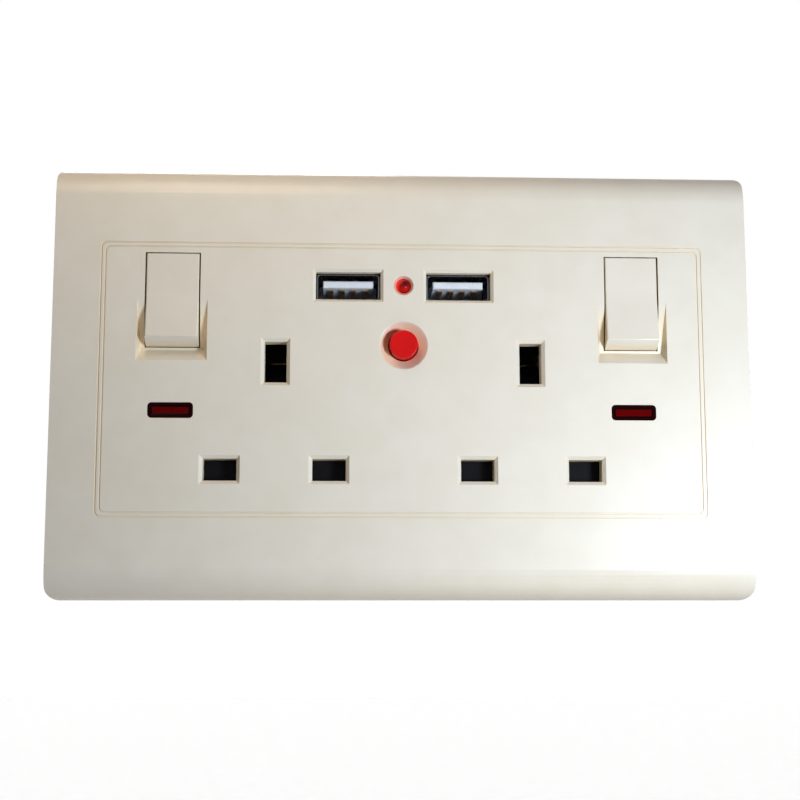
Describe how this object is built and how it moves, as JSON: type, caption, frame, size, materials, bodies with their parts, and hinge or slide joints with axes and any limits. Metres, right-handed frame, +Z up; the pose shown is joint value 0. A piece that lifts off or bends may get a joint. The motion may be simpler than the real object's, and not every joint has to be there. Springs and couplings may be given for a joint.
{
  "type": "twin switched wall socket",
  "caption": "Wall socket plate with switched outlets for rectangular pin plugs, USB charging ports, push button, indicator light and neon windows, with its rear housing and mechanism.",
  "frame": {"origin": "centre of the plate in the wall plane, midway between the two fixing holes", "axes": "+X to the right seen from the front, +Y into the wall, +Z up; the front faces -Y"},
  "size_m": [0.146, 0.0347, 0.09],
  "materials": {
    "cover_plastic": "satin ivory white moulded plastic, faintly pearly",
    "rocker_plastic": "satin ivory white moulded plastic",
    "frame_plastic": "black moulded plastic",
    "housing_plastic": "black moulded plastic, fine spark texture",
    "shutter_plastic": "black moulded plastic",
    "red_plastic": "bright red moulded plastic",
    "neon_plastic": "dark translucent red plastic",
    "led_epoxy": "clear red epoxy",
    "lamp_glass": "clear glass tube",
    "brass_strip": "pressed brass strip",
    "terminal_brass": "machined brass",
    "spring_steel": "spring wire",
    "screw_steel": "zinc plated",
    "shell_steel": "bright nickel plated sheet",
    "contact_gold": "gold flashed copper alloy",
    "tongue_plastic": "white moulded plastic",
    "plunger_plastic": "natural moulded plastic",
    "board_laminate": "green solder mask",
    "ferrite": "sintered ferrite",
    "winding_tape": "yellow polyester tape",
    "capacitor_sleeve": "dark shrink sleeve",
    "resistor_body": "tan lacquer",
    "switch_body": "black moulded plastic",
    "lead_insulation": "blue insulation"
  },
  "bodies": {
    "socket": {"front_cover": "cover_plastic", "mounting_frame": "frame_plastic", "rear_housing": "housing_plastic", "assembly_screws": "screw_steel", "live_bar": "brass_strip", "neutral_bar": "brass_strip", "earth_strap": "brass_strip", "live_terminal": "terminal_brass", "neutral_terminal": "terminal_brass", "earth_terminal": "terminal_brass", "terminal_screws": "screw_steel", "charger_board": "board_laminate", "charger_leads": "lead_insulation", "transformer_core": "ferrite", "transformer_winding": "winding_tape", "smoothing_capacitor": "capacitor_sleeve", "indicator_led": "led_epoxy", "push_switch_body": "switch_body", "line_strip_left": "brass_strip", "shutter_spring_left": "spring_steel", "neon_lens_left": "neon_plastic", "neon_lamp_left": "lamp_glass", "neon_resistor_left": "resistor_body", "usb_shell_left": "shell_steel", "usb_tongue_left": "tongue_plastic", "usb_contacts_left": "contact_gold", "line_strip_right": "brass_strip", "shutter_spring_right": "spring_steel", "neon_lens_right": "neon_plastic", "neon_lamp_right": "lamp_glass", "neon_resistor_right": "resistor_body", "usb_shell_right": "shell_steel", "usb_tongue_right": "tongue_plastic", "usb_contacts_right": "contact_gold"},
    "button": {"button_cap": "red_plastic"},
    "rocker_left": {"rocker_left": "rocker_plastic", "rocker_plunger_left": "plunger_plastic", "rocker_spring_left": "spring_steel"},
    "moving_contact_left": {"moving_contact_left": "brass_strip"},
    "shutter_left": {"shutter_left": "shutter_plastic"},
    "rocker_right": {"rocker_right": "rocker_plastic", "rocker_plunger_right": "plunger_plastic", "rocker_spring_right": "spring_steel"},
    "moving_contact_right": {"moving_contact_right": "brass_strip"},
    "shutter_right": {"shutter_right": "shutter_plastic"}
  },
  "joints": [
    {"name": "rocker_tilt_left", "type": "hinge", "parent": "socket", "child": "rocker_left", "pos_m": [-0.04763, -0.0043, 0.01682], "axis": [1, 0, 0], "range_deg": [0, 9]},
    {"name": "contact_rock_left", "type": "hinge", "parent": "socket", "child": "moving_contact_left", "pos_m": [-0.04763, 0.0094, 0.01682], "axis": [1, 0, 0], "range_deg": [-18, 0]},
    {"name": "shutter_slide_left", "type": "slide", "parent": "socket", "child": "shutter_left", "axis": [0, 0, -1], "range_m": [0, 0.0054], "stiffness_N_per_m": 100, "springref_m": -0.002, "deforming": ["shutter_spring_left"]},
    {"name": "rocker_tilt_right", "type": "hinge", "parent": "socket", "child": "rocker_right", "pos_m": [0.04763, -0.0043, 0.01682], "axis": [1, 0, 0], "range_deg": [0, 9]},
    {"name": "contact_rock_right", "type": "hinge", "parent": "socket", "child": "moving_contact_right", "pos_m": [0.04763, 0.0094, 0.01682], "axis": [1, 0, 0], "range_deg": [-18, 0]},
    {"name": "shutter_slide_right", "type": "slide", "parent": "socket", "child": "shutter_right", "axis": [0, 0, -1], "range_m": [0, 0.0054], "stiffness_N_per_m": 100, "springref_m": -0.002, "deforming": ["shutter_spring_right"]},
    {"name": "button_press", "type": "slide", "parent": "socket", "child": "button", "axis": [0, 1, 0], "range_m": [0, 0.002], "stiffness_N_per_m": 400, "springref_m": -0.001}
  ],
  "couplings": [
    {"joint": "contact_rock_left", "follows": "rocker_tilt_left", "ratio": -2},
    {"joint": "contact_rock_right", "follows": "rocker_tilt_right", "ratio": -2}
  ]
}
